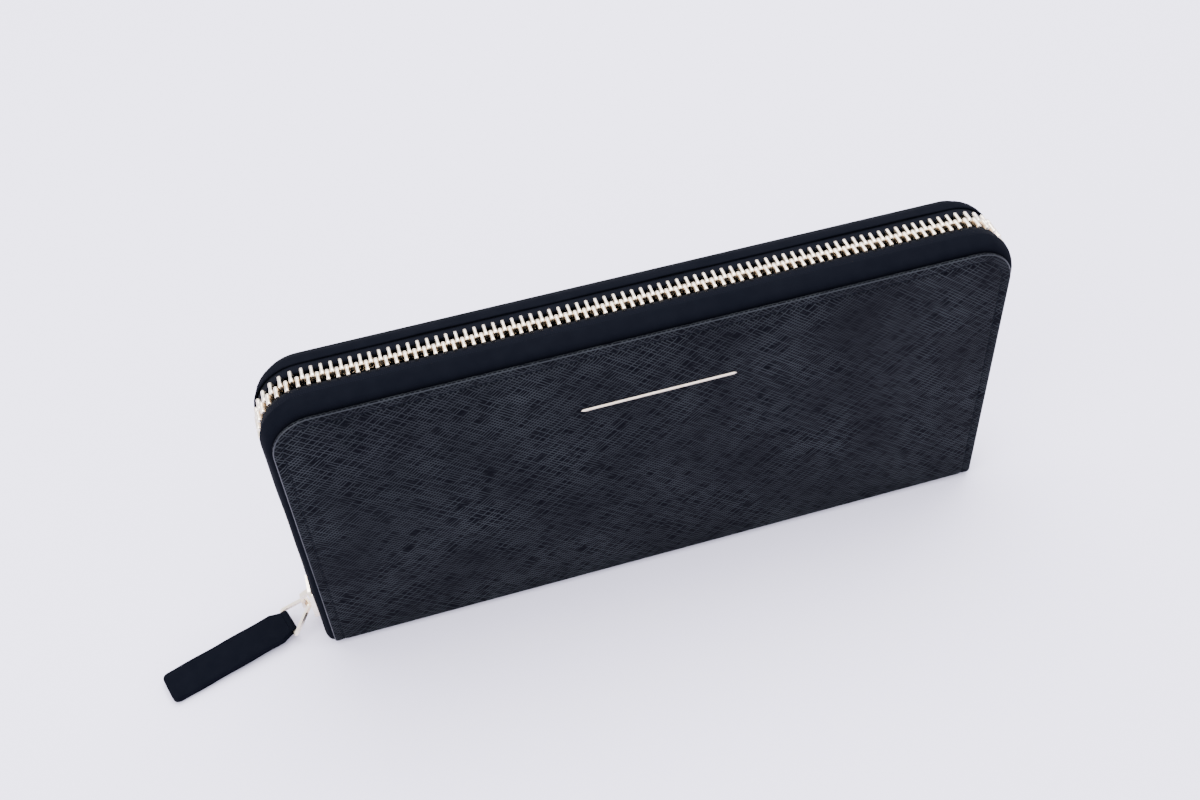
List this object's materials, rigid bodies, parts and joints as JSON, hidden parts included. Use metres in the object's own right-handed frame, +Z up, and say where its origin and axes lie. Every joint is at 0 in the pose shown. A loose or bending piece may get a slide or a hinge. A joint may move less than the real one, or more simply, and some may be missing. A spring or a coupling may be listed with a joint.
{
  "type": "zip around wallet",
  "caption": "Long zip-around wallet in dark embossed leather, with a pale gold metal zip, leather pull, card pockets and a zipped coin pocket.",
  "frame": {"origin": "centre of the spine's flat underside, where the wallet rests", "axes": "+X along the wallet's length, +Y from the front cover towards the back cover, +Z up"},
  "size_m": [0.2458, 0.0292, 0.0933],
  "materials": {
    "outer_leather": "cross-hatch embossed, semi-matt",
    "band_leather": "matt",
    "pocket_leather": "fine grained, semi-matt",
    "lining": "woven twill",
    "zip_tape": "woven tape",
    "board": "matt board",
    "zip_metal": "polished pale gold plating",
    "foil": "hot-stamped pale gold foil"
  },
  "bodies": {
    "back_half": {"spine_leather": "outer_leather", "front_fold_leather": "outer_leather", "spine_stiffener": "board", "spine_lining": "lining", "back_cover_leather": "outer_leather", "back_cover_board": "board", "back_lining": "lining", "back_card_pocket_1": "pocket_leather", "back_card_pocket_2": "pocket_leather", "back_card_pocket_3": "pocket_leather", "back_card_pocket_4": "pocket_leather", "back_band": "band_leather", "back_zip_tape": "zip_tape", "back_zip_teeth": "zip_metal", "back_left_run_teeth": "zip_metal", "front_tape_end_left": "zip_tape", "front_tape_end_right": "zip_tape", "front_teeth_end_left": "zip_metal", "front_teeth_end_right": "zip_metal", "zip_bottom_stop": "zip_metal", "zip_top_stop_front": "zip_metal", "zip_top_stop_back": "zip_metal"},
    "front_half": {"front_cover_leather": "outer_leather", "front_cover_board": "board", "front_lining": "lining", "front_card_pocket_1": "pocket_leather", "front_card_pocket_2": "pocket_leather", "front_card_pocket_3": "pocket_leather", "front_card_pocket_4": "pocket_leather", "front_foil_line": "foil", "front_band": "band_leather", "front_zip_tape": "zip_tape", "front_zip_teeth": "zip_metal", "front_left_run_teeth": "zip_metal", "front_gusset_left": "lining", "front_gusset_right": "lining"},
    "coin_divider": {"coin_pocket_front_wall": "pocket_leather", "coin_pocket_back_wall": "pocket_leather", "coin_pocket_hem": "lining", "coin_zip_front_tape": "zip_tape", "coin_zip_back_tape": "zip_tape", "coin_zip_front_teeth": "zip_metal", "coin_zip_back_teeth": "zip_metal", "back_gusset_left": "lining", "back_gusset_right": "lining"},
    "zip_slider": {"slider": "zip_metal"},
    "link": {"pull_link": "zip_metal"},
    "pull": {"leather_pull": "outer_leather"},
    "coin_zip_slider": {"coin_slider": "zip_metal"},
    "coin_zip_pull": {"coin_pull": "zip_metal"}
  },
  "joints": [
    {"name": "front_open", "type": "hinge", "parent": "back_half", "child": "front_half", "pos_m": [0, -0.009, 0.003], "axis": [1, 0, 0], "range_deg": [0, 60], "deforming": ["front_fold_leather", "front_gusset_left", "front_gusset_right", "front_left_run_teeth"]},
    {"name": "divider_swing", "type": "hinge", "parent": "back_half", "child": "coin_divider", "pos_m": [0, -0.009, 0.003], "axis": [1, 0, 0], "range_deg": [0, 30], "deforming": ["back_gusset_left", "back_gusset_right"]},
    {"name": "slider_travel", "type": "slide", "parent": "back_half", "child": "zip_slider", "axis": [0, 0, 1], "range_m": [0, 0.06], "deforming": ["back_left_run_teeth", "front_teeth_end_left"]},
    {"name": "link_swing", "type": "hinge", "parent": "zip_slider", "child": "link", "pos_m": [-0.1025, 0, 0.0075], "axis": [-0.2924, 0.9563, 0], "range_deg": [0, 60]},
    {"name": "pull_swing", "type": "hinge", "parent": "link", "child": "pull", "pos_m": [-0.109, -0.00199, 0.00292], "axis": [-0.2924, 0.9563, 0], "range_deg": [0, 38]},
    {"name": "coin_slider_travel", "type": "slide", "parent": "coin_divider", "child": "coin_zip_slider", "axis": [1, 0, 0], "range_m": [0, 0.14]},
    {"name": "coin_pull_swing", "type": "hinge", "parent": "coin_zip_slider", "child": "coin_zip_pull", "pos_m": [-0.07, -0.0024, 0.0838], "axis": [-1, 0, 0], "range_deg": [0, 25]}
  ],
  "couplings": [
    {"joint": "divider_swing", "follows": "front_open", "ratio": 0.5}
  ]
}
